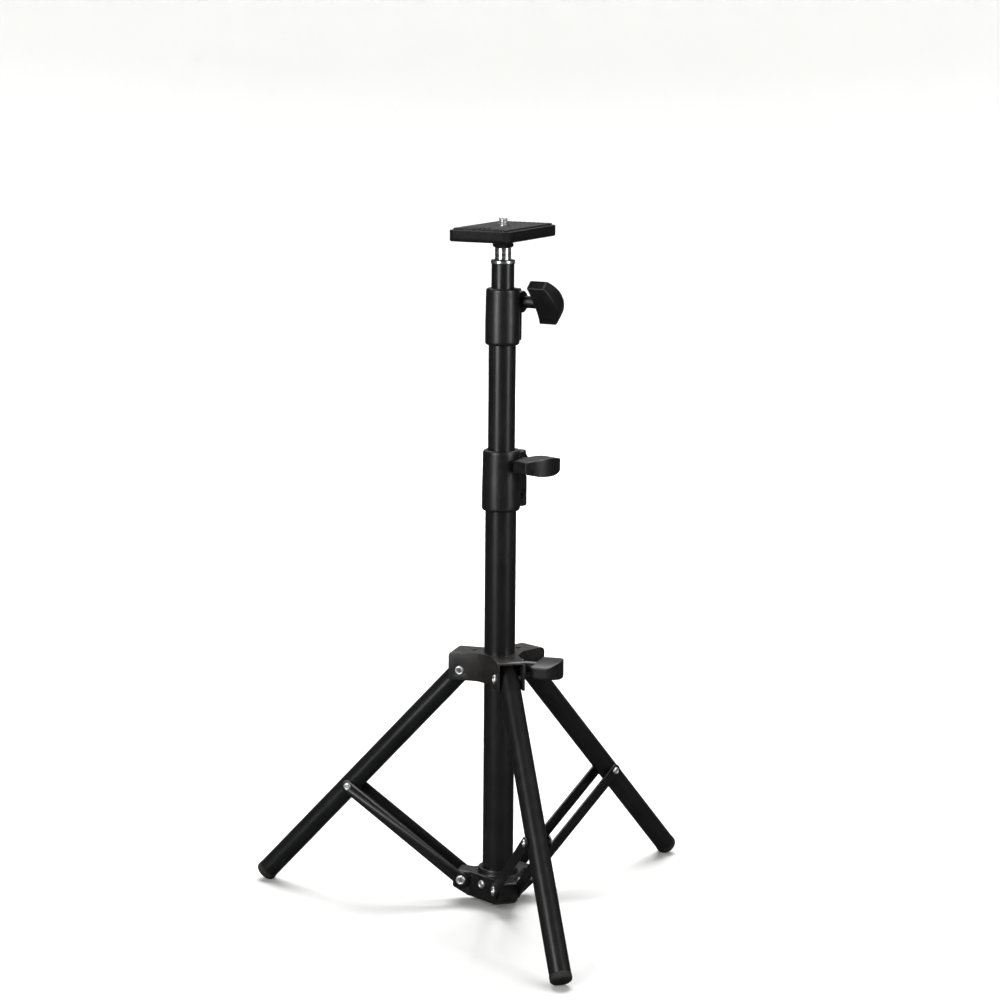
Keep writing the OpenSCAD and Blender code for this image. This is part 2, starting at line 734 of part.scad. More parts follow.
// A slab with round corners and a chamfered lower edge
module rounded_slab(w, len, corner_r, edge, h) {
    intersection() {
        linear_extrude(height = h) rounded_rect(w, len, corner_r);
        rotate([90, 0, 0]) linear_extrude(height = len, center = true)
            polygon([[-w / 2 + edge, 0], [w / 2 - edge, 0], [w / 2 - edge * 0.3, edge * 0.3],
                [w / 2, edge], [w / 2, h], [-w / 2, h], [-w / 2, edge], [-w / 2 + edge * 0.3, edge * 0.3]]);
        rotate([90, 0, 90]) linear_extrude(height = w, center = true)
            polygon([[-len / 2 + edge, 0], [len / 2 - edge, 0], [len / 2 - edge * 0.3, edge * 0.3],
                [len / 2, edge], [len / 2, h], [-len / 2, h], [-len / 2, edge], [-len / 2 + edge * 0.3, edge * 0.3]]);
    }
}

module rounded_rect(w, len, r) {
    square([w, len - 2 * r], center = true);
    square([w - 2 * r, len], center = true);
    for (x = [-1, 1]) for (y = [-1, 1]) translate([x * (w / 2 - r), y * (len / 2 - r)]) circle(r = r);
}

module tray_pad() {
    inset = 2.5;
    color(black_rubber) translate([0, 0, pad_z]) turned(tray_turn) difference() {
        linear_extrude(height = pad_t) rounded_rect(tray_w - 2 * inset, tray_len - 2 * inset, tray_corner_r - inset);
        translate([0, 0, -1]) cylinder(d = head_screw_d, h = pad_t + 2);
        for (end = [-1, 1]) translate([-tray_w * 0.28, end * tray_len * 0.4 - 2, -1])
            cube([tray_w * 0.56, 4, pad_t + 2]);
    }
}

// The mounting screw: a plain shank up through the tray, then the thread with its bevelled tip
module head_screw() {
    pad_top = pad_z + pad_t - spigot_top_z;
    tip = pad_top + head_screw_show;
    color(silver) translate([0, 0, spigot_top_z]) rotate_extrude()
        polygon([[0, 0], [head_shank_d / 2, 0], [head_shank_d / 2, pad_top + head_neck_h],
            [head_screw_d / 2, pad_top + head_neck_h], [head_screw_d / 2, tip - head_tip_h],
            [head_screw_d / 2 - head_tip_h, tip], [0, tip]]);
}

lower_tube();
spider();
spider_screws();
strut_foot_rivets();
lower_collar();
lower_clamp_screw();
crown();
crown_rivets();
crown_knob();
crown_knob_screw();
leg(front);  // leg_front
leg(right);  // leg_right
leg(left);  // leg_left
foot(front);  // foot_front
foot(right);  // foot_right
foot(left);  // foot_left
leg_pin(front);  // leg_pin_front
leg_pin(right);  // leg_pin_right
leg_pin(left);  // leg_pin_left
strut_bar(front, -1);  // strut_front_a
strut_bar(front, 1);  // strut_front_b
strut_bar(right, -1);  // strut_right_a
strut_bar(right, 1);  // strut_right_b
strut_bar(left, -1);  // strut_left_a
strut_bar(left, 1);  // strut_left_b
strut_rivets(front);  // strut_rivets_front
strut_rivets(right);  // strut_rivets_right
strut_rivets(left);  // strut_rivets_left
mid_tube();
mid_bushing();
upper_collar();
upper_clamp_screw();
lower_knob();
lower_knob_screw();
top_tube();
top_bushing();
upper_knob();
upper_knob_screw();
spigot();
head_nut();
head_tray();
tray_pad();
head_screw();
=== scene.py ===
import json
import math

import bmesh
import bpy
from mathutils import Matrix, Vector


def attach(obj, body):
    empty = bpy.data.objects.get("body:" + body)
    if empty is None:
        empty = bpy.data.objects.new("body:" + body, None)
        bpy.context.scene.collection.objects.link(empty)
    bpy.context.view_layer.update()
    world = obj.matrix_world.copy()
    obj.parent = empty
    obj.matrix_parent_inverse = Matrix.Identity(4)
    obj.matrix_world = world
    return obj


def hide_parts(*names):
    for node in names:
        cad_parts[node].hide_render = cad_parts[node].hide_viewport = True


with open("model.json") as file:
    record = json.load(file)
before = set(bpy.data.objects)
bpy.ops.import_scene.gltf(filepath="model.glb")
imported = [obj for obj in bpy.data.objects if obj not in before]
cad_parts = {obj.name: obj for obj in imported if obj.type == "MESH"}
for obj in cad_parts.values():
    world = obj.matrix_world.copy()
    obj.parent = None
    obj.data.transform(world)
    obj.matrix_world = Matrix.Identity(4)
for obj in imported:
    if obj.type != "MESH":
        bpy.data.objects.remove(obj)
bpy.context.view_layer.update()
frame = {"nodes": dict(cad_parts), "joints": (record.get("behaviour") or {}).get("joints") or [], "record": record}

mm = 0.001
record = frame["record"]
bodyOf = {node: body for body, nodes in record["behaviour"]["bodies"].items() for node in nodes}
jointOf = {joint["name"]: joint for joint in frame["joints"]}
legNames = ["front", "right", "left"]


# Camera, backdrop and lights

camera = {
    "position": (-0.4425, -1.8137, 0.6296),
    "heading": 13.657,      # degrees from +Y towards +X
    "pitchDown": 10.241,
    "roll": 0.486,
    "lens": 96.993,
    "sensor": 36,
    "shift": (0.0016, 0.0037),
}

backdrop = {
    "flatRadius": 3.2,
    "bendRadius": 1.2,
    "height": 5.0,
    "drop": 0.2 * mm,      # keeps the feet's soles just off the floor
    "steps": 16,
    "segments": 96,
    "colour": "#fafaf9",
    # Painted shade: a darker paper near the middle tones down the lamps' pool of light on the floor
    "paintedShadeColour": "#a9a9a8",     # under the lamps, where a whiter paper would glare round thin edges
    "paintedShadeReach": (1.4, 2.7),
    "roughness": 0.9,
    "specular": 0.1,
}

# Angles are counted from the camera's side of the stand, to the right as the camera sees it
lights = {
    "keyBox": {"angle": -40, "distance": 1.75, "height": 0.83, "size": (0.5, 1.4), "power": 33},
    "sideBox": {"angle": 56, "distance": 1.8, "height": 0.83, "size": (0.4, 1.4), "power": 20},
    "topBox": {"angle": 180, "distance": 1.1, "height": 2.5, "size": (2.4, 1.9), "power": 105},
    "backWash": {"angle": 180, "distance": 1.6, "height": 2.3, "size": (2.6, 0.9), "power": 176,
        "shine": False},    # brightens the paper and shows in no shine
    "rimBox": {"angle": 180, "distance": 2.3, "height": 0.5, "size": (2.6, 0.9), "power": 1.6},
}
worldLight = {"colour": "#ffffff", "strength": 0.04}
lampAim = {"tall": 0.25, "overhead": 0, "overheadFrom": 1.5}     # heights in metres


def linearColour(code):
    channels = [int(code[i:i + 2], 16) / 255 for i in (1, 3, 5)]
    linear = [c / 12.92 if c <= 0.04045 else ((c + 0.055) / 1.055) ** 2.4 for c in channels]
    return (*linear, 1.0)


def addNode(tree, kind, values=None, links=None, **settings):
    node = tree.nodes.new(kind)
    for key, value in settings.items():
        setattr(node, key, value)
    for socket, value in (values or {}).items():
        node.inputs[socket].default_value = value
    for socket, source in (links or {}).items():
        tree.links.new(source, node.inputs[socket])
    return node


def makeCamera():
    data = bpy.data.cameras.new("photoCamera")
    data.lens = camera["lens"]
    data.sensor_width = camera["sensor"]
    data.clip_start = 0.05
    data.clip_end = 50
    view = bpy.data.objects.new("photoCamera", data)
    data.shift_x, data.shift_y = camera["shift"]
    aim = Matrix.Rotation(-math.radians(camera["heading"]), 4, "Z")
    aim = aim @ Matrix.Rotation(math.radians(90 - camera["pitchDown"]), 4, "X")
    aim = aim @ Matrix.Rotation(math.radians(camera["roll"]), 4, "Z")
    view.location = camera["position"]
    view.rotation_euler = aim.to_euler()
    bpy.context.scene.collection.objects.link(view)
    bpy.context.scene.camera = view


def makeLights():
    heading = math.radians(camera["heading"])
    for name, light in lights.items():
        # An angle of 0 stands the light between the stand and the camera
        turn = math.radians(light["angle"]) - heading
        place = Vector((math.sin(turn), -math.cos(turn), 0)) * light["distance"]
        place.z = light["height"]
        data = bpy.data.lights.new(name, "AREA")
        data.shape = "RECTANGLE"
        data.size, data.size_y = light["size"]
        data.energy = light["power"]
        lamp = bpy.data.objects.new(name, data)
        lamp.location = place
        overhead = light["height"] >= lampAim["overheadFrom"]
        target = Vector((0, 0, lampAim["overhead" if overhead else "tall"]))
        lamp.rotation_euler = (target - place).to_track_quat("-Z", "Y").to_euler()
        # The lamps stand inside the picture's edges, so the camera looks through them
        lamp.visible_camera = False
        lamp.visible_glossy = light.get("shine", True)
        bpy.context.scene.collection.objects.link(lamp)
    world = bpy.data.worlds.new("studioWorld")
    world.use_nodes = True
    sky = world.node_tree.nodes["Background"]
    sky.inputs["Color"].default_value = linearColour(worldLight["colour"])
    sky.inputs["Strength"].default_value = worldLight["strength"]
    bpy.context.scene.world = world
    # A plain display curve: the print-like whites and blacks of a catalogue picture
    bpy.context.scene.view_settings.view_transform = "Standard"


def makeBackdrop(material):
    # A round sweep: flat floor, bend and wall, so that no horizon shows from any side
    r, bend, top = backdrop["flatRadius"], backdrop["bendRadius"], backdrop["height"]
    profile = [(0, 0), (r, 0)]
    for i in range(1, backdrop["steps"] + 1):
        a = math.pi / 2 * i / backdrop["steps"]
        profile.append((r + bend * math.sin(a), bend * (1 - math.cos(a))))
    profile.append((r + bend, top))
    mesh = lathe("studioFloor", profile, backdrop["segments"], closed=False)
    mesh.transform(Matrix.Translation((0, 0, -backdrop["drop"])))
    mesh.flip_normals()
    floor = bpy.data.objects.new("studioFloor", mesh)
    mesh.materials.append(material)
    mesh.polygons.foreach_set("use_smooth", [True] * len(mesh.polygons))
    bpy.context.scene.collection.objects.link(floor)
    # As black flags round the set would, this keeps the paper out of the shine of the dark parts
    floor.visible_glossy = False


# Materials

def newMaterial(name):
    material = bpy.data.materials.new(name)
    material.use_nodes = True
    tree = material.node_tree
    tree.nodes.clear()
    shader = addNode(tree, "ShaderNodeBsdfPrincipled")
    addNode(tree, "ShaderNodeOutputMaterial", links={"Surface": shader.outputs["BSDF"]})
    return material, tree, shader


def drawn(tree, sizeMm, detail, rough=0.5, stretch=(1, 1, 1)):
    # An uneven pattern. Object coordinates are metres, so its scale is one over its real size
    place = addNode(tree, "ShaderNodeTexCoord")
    mapping = addNode(tree, "ShaderNodeMapping", {"Scale": stretch}, {"Vector": place.outputs["Object"]})
    values = {"Scale": 1 / (sizeMm * mm), "Detail": detail, "Roughness": rough}
    return addNode(tree, "ShaderNodeTexNoise", values, {"Vector": mapping.outputs["Vector"]}).outputs["Fac"]


def between(tree, pattern, low, high):
    # A pattern drawn between two values. A noise stays mostly between 0.3 and 0.7
    values = {"From Min": 0.3, "From Max": 0.7, "To Min": low, "To Max": high}
    return addNode(tree, "ShaderNodeMapRange", values, {"Value": drawn(tree, *pattern)}).outputs["Result"]


def raised(tree, pattern, heightMm, strength=1.0, under=None):
    # A pattern raised from the surface, over another one where there is one
    links = {"Height": drawn(tree, *pattern)}
    if under is not None:
        links["Normal"] = under
    bump = addNode(tree, "ShaderNodeBump", {"Distance": heightMm * mm, "Strength": strength}, links)
    return bump.outputs["Normal"]


def newFinish(name, finish):
    # What the finishes share: their shine, and two tones that drift into each other
    material, tree, shader = newMaterial(name)
    for socket, key in (("IOR", "ior"), ("Specular IOR Level", "specular"), ("Metallic", "metallic")):
        if key in finish:
            shader.inputs[socket].default_value = finish[key]
    tones = addNode(tree, "ShaderNodeMix",
        {6: linearColour(finish["dark"]), 7: linearColour(finish["light"])},
        {"Factor": between(tree, finish["cloud"], 0, 1)}, data_type="RGBA")
    tree.links.new(tones.outputs[2], shader.inputs["Base Color"])
    return material, tree, shader


# A pattern is given as its size in mm, its detail and, where they matter, its roughness and stretch.
# A real grain finer than about half a millimetre is drawn coarser, so that it shows
powderCoat = {
    "dark": "#0b0b0c",
    "light": "#111112",
    "roughness": (0.28, 0.35),
    "ior": 1.5,
    "specular": 0.42,
    "cloud": (22, 3.0),
    "satin": (5, 3.0),
    "peel": (0.9, 1.0),
    "peelHeight": 0.0035,
}


def powderCoatedSteel():
    # Powder-coated steel tube: sprayed and baked, so a satin skin with a faint orange peel
    material, tree, shader = newFinish("powderCoatedSteel", powderCoat)
    tree.links.new(between(tree, powderCoat["satin"], *powderCoat["roughness"]), shader.inputs["Roughness"])
    peel = raised(tree, powderCoat["peel"], powderCoat["peelHeight"])
    tree.links.new(peel, shader.inputs["Normal"])
    return material


enamel = {
    "dark": "#141313",
    "light": "#1c1a19",
    "roughness": (0.3, 0.42),
    "ior": 1.5,
    "specular": 0.45,
    "cloud": (12, 4.0),
    "satin": (3.5, 3.0),
    "peel": (1.6, 2.0),
    "peelHeight": 0.02,
}


def blackEnamel():
    # Black stoving enamel on pressed steel: a touch duller and less even than the tubes' coat
    material, tree, shader = newFinish("blackEnamel", enamel)
    tree.links.new(between(tree, enamel["satin"], *enamel["roughness"]), shader.inputs["Roughness"])
    peel = raised(tree, enamel["peel"], enamel["peelHeight"])
    tree.links.new(peel, shader.inputs["Normal"])
    return material


nylon = {
    "dark": "#0a0a0b",
    "light": "#111112",
    "roughness": (0.3, 0.42),
    "ior": 1.52,
    "specular": 0.42,
    "cloud": (6, 3.0),
    "satin": (2.2, 2.0),
    "swell": (14, 1.0),      # the slow unevenness of a thick moulding
    "swellHeight": 0.03,
    "swellStrength": 0.5,
    "grain": (0.55, 2.0, 0.7),
    "grainHeight": 0.05,
}
# For the head tray: its darker colour and weaker shine are painted shade, the shade of a device standing on the
# tray; the rougher finish is a duller moulding
dullNylonPaintedShade = {**nylon, "dark": "#070707", "light": "#0c0c0d", "roughness": (0.6, 0.75), "specular": 0.2}


def texturedNylon(name, finish):
    # Glass-filled nylon from a spark-eroded mould: an even fine grain, about 0.2 mm on the real one,
    # that breaks up the shine
    material, tree, shader = newFinish(name, finish)
    tree.links.new(between(tree, finish["satin"], *finish["roughness"]), shader.inputs["Roughness"])
    swell = raised(tree, finish["swell"], finish["swellHeight"], finish["swellStrength"])
    grain = raised(tree, finish["grain"], finish["grainHeight"], under=swell)
    tree.links.new(grain, shader.inputs["Normal"])
    return material


rubber = {
    "dark": "#0f0f0f",
    "light": "#191918",
    "roughness": (0.62, 0.8),
    "ior": 1.5,
    "specular": 0.35,
    "cloud": (4, 4.0),
    "satin": (2.5, 3.0),
    "grain": (0.8, 3.0, 0.6),
    "grainHeight": 0.03,
}


def mouldedRubber():
    # Black rubber, moulded: dull, with a faint dusty bloom
    material, tree, shader = newFinish("mouldedRubber", rubber)
    tree.links.new(between(tree, rubber["satin"], *rubber["roughness"]), shader.inputs["Roughness"])
    grain = raised(tree, rubber["grain"], rubber["grainHeight"])
    tree.links.new(grain, shader.inputs["Normal"])
    return material


zinc = {
    "dark": "#d6d7d9",
    "light": "#f2f2f2",
    "roughness": (0.36, 0.5),
    "metallic": 1.0,
    "cloud": (1.6, 3.0),
    "satin": (0.8, 2.0),
    "grain": (0.5, 2.0),
    "grainHeight": 0.008,
}


def zincPlatedSteel():
    # Bright zinc plate on steel rivets and screws: silvery, faintly clouded by the plating bath
    material, tree, shader = newFinish("zincPlatedSteel", zinc)
    tree.links.new(between(tree, zinc["satin"], *zinc["roughness"]), shader.inputs["Roughness"])
    grain = raised(tree, zinc["grain"], zinc["grainHeight"])
    tree.links.new(grain, shader.inputs["Normal"])
    return material


chrome = {
    "dark": "#dcdee0",
    "light": "#f0f1f2",
    "roughness": (0.18, 0.3),
    "metallic": 1.0,
    "cloud": (3, 2.0),
    "turning": (0.35, 1.0, 0.5, (0.02, 0.02, 1)),      # drawn out round the axis, fine along it
    "turningHeight": 0.004,
}


def turnedChrome():
    # Chromed steel, turned and plated: bright, softened by the faint rings of the lathe tool, which
    # are about 0.15 mm apart on the real one
    material, tree, shader = newFinish("turnedChrome", chrome)
    tree.links.new(between(tree, chrome["turning"], *chrome["roughness"]), shader.inputs["Roughness"])
    tree.links.new(raised(tree, chrome["turning"], chrome["turningHeight"]), shader.inputs["Normal"])
    return material


oxide = {
    "dark": "#1b1b1c",
    "light": "#3a3a3c",
    "roughness": (0.28, 0.4),
    "metallic": 0.85,
    "cloud": (2, 3.0),
    "satin": (1.2, 2.0),
    "grain": (0.6, 1.0),
    "grainHeight": 0.006,
}


def blackOxideSteel():
    # Black oxide steel: blued by a hot salt bath, so dark but still metallic at a slant
    material, tree, shader = newFinish("blackOxideSteel", oxide)
    tree.links.new(between(tree, oxide["satin"], *oxide["roughness"]), shader.inputs["Roughness"])
    grain = raised(tree, oxide["grain"], oxide["grainHeight"])
    tree.links.new(grain, shader.inputs["Normal"])
    return material


def paintedBackdrop():
    # Matt paper sweep, almost white, with painted shade: a deeper tone where the lamps are strongest, which tones
    # down their pool of light
    material, tree, shader = newMaterial("paperSweep")
    shader.inputs["Roughness"].default_value = backdrop["roughness"]
    shader.inputs["Specular IOR Level"].default_value = backdrop["specular"]
    place = addNode(tree, "ShaderNodeTexCoord")
    reach = addNode(tree, "ShaderNodeVectorMath", links={0: place.outputs["Object"]}, operation="LENGTH")
    near, far = backdrop["paintedShadeReach"]
    fade = addNode(tree, "ShaderNodeMapRange", {"From Min": near, "From Max": far},
        {"Value": reach.outputs["Value"]})
    # The paper's colour fades from the painted shade near the middle to the near-white of the far floor and wall
    paper = addNode(tree, "ShaderNodeMix",
        {6: linearColour(backdrop["paintedShadeColour"]), 7: linearColour(backdrop["colour"])},
        {"Factor": fade.outputs["Result"]}, data_type="RGBA")
    tree.links.new(paper.outputs[2], shader.inputs["Base Color"])
    return material


# Mesh helpers

def lathe(name, profile, segments, closed=True):
    # Turns a profile of (radius, height) points about Z. A point may be a function of the angle, for
    # shapes that aren't quite round; a radius of 0 becomes a pole
    shape = bmesh.new()
    rings = []
    for point in profile:
        if not callable(point) and point[0] <= 0:
            rings.append([shape.verts.new((0, 0, point[1]))])
            continue
        ring = []
        for i in range(segments):
            a = 2 * math.pi * i / segments
            radius, height = point(a) if callable(point) else point
            ring.append(shape.verts.new((radius * math.cos(a), radius * math.sin(a), height)))
        rings.append(ring)
    pairs = list(zip(rings, rings[1:]))
    if closed and len(rings[0]) > 1:
        pairs.append((rings[-1], rings[0]))
    for a, b in pairs:
        for i in range(segments):
            j = (i + 1) % segments
            corners = [a[i % len(a)], a[j % len(a)], b[j % len(b)], b[i % len(b)]]
            corners = [c for k, c in enumerate(corners) if c not in corners[:k]]
            if len(corners) > 2:
                shape.faces.new(corners)
    bmesh.ops.recalc_face_normals(shape, faces=shape.faces)
    mesh = bpy.data.meshes.new(name)
    shape.to_mesh(mesh)
    shape.free()
    return mesh


def inMetres(profile):
    # Pieces are sized in mm, and the scene is in metres
    return [(radius * mm, height * mm) for radius, height in profile]


def arc(x, z, radius, start, end, steps):
    turns = [math.radians(start + (end - start) * i / steps) for i in range(steps + 1)]
    return [(x + radius * math.cos(a), z + radius * math.sin(a)) for a in turns]


def towards(position, direction):
    # Stands a piece built along +Z at a place, pointing along a direction
    turn = Vector(direction).to_track_quat("Z", "Y").to_matrix().to_4x4()
    return Matrix.Translation(position) @ turn


def joined(name, meshes):
    shape = bmesh.new()
    for mesh in meshes:
        shape.from_mesh(mesh)
    mesh = bpy.data.meshes.new(name)
    shape.to_mesh(mesh)
    shape.free()
    return mesh


mergeGap = 0.0005 * mm


def cadCopy(name, node):
    # A copy of a CAD solid's mesh, its loose triangles merged
    shape = bmesh.new()
    shape.from_mesh(frame["nodes"][node].data)
    bmesh.ops.remove_doubles(shape, verts=shape.verts, dist=mergeGap)
    mesh = bpy.data.meshes.new(name)
    shape.to_mesh(mesh)
    shape.free()
    return mesh


def evaluated(mesh, *modifiers):
    # Runs modifiers, given as (kind, settings), over a mesh and returns the result as a plain mesh
    work = bpy.data.objects.new("work", mesh)
    bpy.context.scene.collection.objects.link(work)
    for kind, settings in modifiers:
        modifier = work.modifiers.new(kind.lower(), kind)
        for key, value in settings.items():
            setattr(modifier, key, value)
    graph = bpy.context.evaluated_depsgraph_get()
    result = bpy.data.meshes.new_from_object(work.evaluated_get(graph))
    bpy.data.objects.remove(work)
    return result


def addPiece(name, mesh, body, material, replaced=(), sharpAngle=None):
    mesh.name = name
    mesh.materials.clear()
    mesh.materials.append(material)
    mesh.polygons.foreach_set("material_index", [0] * len(mesh.polygons))
    mesh.polygons.foreach_set("use_smooth", [True] * len(mesh.polygons))
    if sharpAngle:
        mesh.set_sharp_from_angle(angle=math.radians(sharpAngle))
    piece = bpy.data.objects.new(name, mesh)
    bpy.context.scene.collection.objects.link(piece)
    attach(piece, body)
    if replaced:
        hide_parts(*replaced)
    return piece


def carve(mesh, cutter):
    # Takes the cutter's shape out of a mesh
    tool = bpy.data.objects.new("cutter", cutter)
    bpy.context.scene.collection.objects.link(tool)
    result = evaluated(mesh, ("BOOLEAN", {"operation": "DIFFERENCE", "solver": "EXACT", "object": tool}))
    bpy.data.objects.remove(tool)
    return result


def block(size, centre, turn=0):
    # A box of a size in mm round a centre in mm, turned about Z by degrees
    shape = bmesh.new()
    bmesh.ops.create_cube(shape, size=1)
    mesh = bpy.data.meshes.new("block")
    shape.to_mesh(mesh)
    shape.free()
    mesh.transform(Matrix.Translation(Vector(centre) * mm) @ Matrix.Rotation(math.radians(turn), 4, "Z")
        @ Matrix.Diagonal((*(v * mm for v in size), 1)))
    return mesh


# Widths of the broken edges in mm. Faces within flatUnder degrees are one face, and an edge over
# sharpOver degrees is broken
brokenEdge = {"crown": 0.45, "strut": 0.28, "flatUnder": 1, "sharpOver": 35}


def softened(name, node, width, material, segments=2):
    # A stamped or pressed part: the solid's own faces with a fine broken edge
    shape = bmesh.new()
    source = cadCopy(name, node)
    shape.from_mesh(source)
    bmesh.ops.dissolve_limit(shape, angle_limit=math.radians(brokenEdge["flatUnder"]),
        verts=shape.verts, edges=shape.edges)
    shape.to_mesh(source)
    shape.free()
    mesh = evaluated(source, ("BEVEL", {"width": width * mm, "segments": segments, "limit_method": "ANGLE",
        "angle_limit": math.radians(brokenEdge["sharpOver"]), "harden_normals": False}))
    return addPiece(name, mesh, bodyOf[node], material, [node], sharpAngle=40)


def moulded(name, node, voxelMm, passes, material, slot):
    # A moulded part: the solid's own shape with every edge rounded as the mould leaves it
    mesh = evaluated(cadCopy(name, node),
        ("REMESH", {"mode": "VOXEL", "voxel_size": voxelMm * mm, "use_smooth_shade": True}),
        ("SMOOTH", {"factor": 0.5, "iterations": passes}))
    return addPiece(name, mesh, bodyOf[node], material, [node])


# Rivets and nuts: one Geometry Nodes tree sets a turned piece on every station

roundSteps = {"rivet": 48, "nut": 72, "screw": 48, "spigot": 96, "lip": 12}


def rivetMesh(name, rivet):
    head, hole, shank = rivet["head"] / 2, rivet["hole"] / 2, rivet["shank"] / 2
    middle, lip = (head + hole) / 2, (head - hole) / 2
    floor, edge = -rivet["holeDepth"], 0.12
    profile = [(0, floor), (hole * 0.8, floor), (hole, floor + 0.3)]
    for i in range(roundSteps["lip"] + 1):
        a = math.pi * (1 - i / roundSteps["lip"])
        profile.append((middle + lip * math.cos(a), edge + (rivet["height"] - edge) * math.sin(a)))
    profile += [(head, 0), (shank, -0.02), (shank, -rivet["reach"]), (0, -rivet["reach"])]
    return lathe(name, inMetres(profile), roundSteps["rivet"])


def stationTree():
    tree = bpy.data.node_groups.new("setOnStations", "GeometryNodeTree")
    sides = tree.interface
    sides.new_socket("Geometry", in_out="INPUT", socket_type="NodeSocketGeometry")
    sides.new_socket("Shape", in_out="INPUT", socket_type="NodeSocketObject")
    sides.new_socket("Material", in_out="INPUT", socket_type="NodeSocketMaterial")
    sides.new_socket("Turn seed", in_out="INPUT", socket_type="NodeSocketInt")
    sides.new_socket("Geometry", in_out="OUTPUT", socket_type="NodeSocketGeometry")
    given = addNode(tree, "NodeGroupInput")
    shape = addNode(tree, "GeometryNodeObjectInfo", links={"Object": given.outputs["Shape"]})
    aim = addNode(tree, "GeometryNodeInputNamedAttribute", {"Name": "aim"}, data_type="FLOAT_VECTOR")
    along = addNode(tree, "FunctionNodeAlignRotationToVector",
        links={"Vector": aim.outputs["Attribute"]}, axis="Z")
    # Rivets and nuts end up at any turn, so each gets its own
    spin = addNode(tree, "FunctionNodeRandomValue",
        links={"Seed": given.outputs["Turn seed"]}, data_type="FLOAT")
    turn = addNode(tree, "FunctionNodeAxisAngleToRotation", {"Axis": (0, 0, 1)})
    angle = [socket for socket in spin.outputs if socket.enabled][0]
    low, high = [socket for socket in spin.inputs if socket.enabled and socket.name in ("Min", "Max")]
    low.default_value, high.default_value = 0.0, 2 * math.pi
    tree.links.new(angle, turn.inputs["Angle"])
    both = addNode(tree, "FunctionNodeRotateRotation", links={"Rotation": along.outputs["Rotation"],
        "Rotate By": turn.outputs["Rotation"]}, rotation_space="LOCAL")
    placed = addNode(tree, "GeometryNodeInstanceOnPoints", links={"Points": given.outputs["Geometry"],
        "Instance": shape.outputs["Geometry"], "Rotation": both.outputs["Rotation"]})
    real = addNode(tree, "GeometryNodeRealizeInstances", links={"Geometry": placed.outputs["Instances"]})
    finished = addNode(tree, "GeometryNodeSetMaterial", links={"Geometry": real.outputs["Geometry"],
        "Material": given.outputs["Material"]})
    addNode(tree, "NodeGroupOutput", links={"Geometry": finished.outputs["Geometry"]})
    return tree


setOnStations = stationTree()


def onStations(name, shapeMesh, stations, material, seed):
    # Sets a copy of a mesh on every (position, direction) station and returns one plain mesh
    shape = bpy.data.objects.new(name + "Shape", shapeMesh)
    bpy.context.scene.collection.objects.link(shape)
    points = bpy.data.meshes.new(name + "Stations")
    points.from_pydata([tuple(position) for position, direction in stations], [], [])
    aims = points.attributes.new("aim", "FLOAT_VECTOR", "POINT")
    for i, (position, direction) in enumerate(stations):
        aims.data[i].vector = direction
    carrier = bpy.data.objects.new(name + "Stations", points)
    bpy.context.scene.collection.objects.link(carrier)
    modifier = carrier.modifiers.new("stations", "NODES")
    modifier.node_group = setOnStations
    given = {"Shape": shape, "Material": material, "Turn seed": seed}
    for item in setOnStations.interface.items_tree:
        if item.in_out == "INPUT" and item.name in given:
            modifier[item.identifier] = given[item.name]
    carrier.update_tag()
    graph = bpy.context.evaluated_depsgraph_get()
    mesh = bpy.data.meshes.new_from_object(carrier.evaluated_get(graph))
    bpy.data.objects.remove(carrier)
    bpy.data.objects.remove(shape)
    return mesh


def jointStations(joint, half):
    # The two outer ends of a hinge's rivet
    place, axis = Vector(jointOf[joint]["pos_m"]), Vector(jointOf[joint]["axis"])
    return [(place + axis * side * half * mm, axis * side) for side in (-1, 1)]


makeCamera()
makeLights()
makeBackdrop(paintedBackdrop())
print("camera, lights and backdrop ready")

coat = powderCoatedSteel()
pressed = blackEnamel()
plastic = texturedNylon("texturedNylon", nylon)
dullPlasticPaintedShade = texturedNylon("dullNylonPaintedShade", dullNylonPaintedShade)
rubberBlack = mouldedRubber()
zincSteel = zincPlatedSteel()
chromeSteel = turnedChrome()
oxideSteel = blackOxideSteel()
print("materials ready")

finishOf = {"black_coat": coat, "crown_coat": pressed, "black_plastic": plastic, "black_rubber": rubberBlack,
    "rivet_steel": zincSteel, "spigot_chrome": chromeSteel, "screw_black": oxideSteel}
slotOf = {part["node"]: part["material_slot"] for part in record["subparts"]}
for node, item in frame["nodes"].items():
    item.data.materials.clear()
    item.data.materials.append(finishOf[slotOf[node]])

# Moulded parts: voxel size in mm and smoothing passes
mouldedParts = {
    "lower_collar": (0.46, 5),
    "upper_collar": (0.46, 5),
    "spider": (0.44, 3),
    "head_tray": (0.5, 5),
    "lower_knob": (0.4, 6),
    "upper_knob": (0.4, 6),
    "crown_knob": (0.4, 6),
}
for node, (voxelMm, passes) in mouldedParts.items():
    # The head tray takes the darker nylon, whose darker colour is painted shade
    material = dullPlasticPaintedShade if node == "head_tray" else finishOf[slotOf[node]]
    moulded(node + "_moulded", node, voxelMm, passes, material, slotOf[node])
print("moulded parts ready")

# Pressed crown, stamped bars and rubber feet, which are moulded too
footMould = (0.4, 5)
softened("crown_pressed", "crown", brokenEdge["crown"], pressed, 3)
for leg in legNames:
    for side in "ab":
        bar = f"strut_{leg}_{side}"
        softened(f"{bar}_stamped", bar, brokenEdge["strut"], coat)
    moulded(f"foot_{leg}_moulded", f"foot_{leg}", *footMould, rubberBlack, "black_rubber")
print("crown, struts and feet ready")

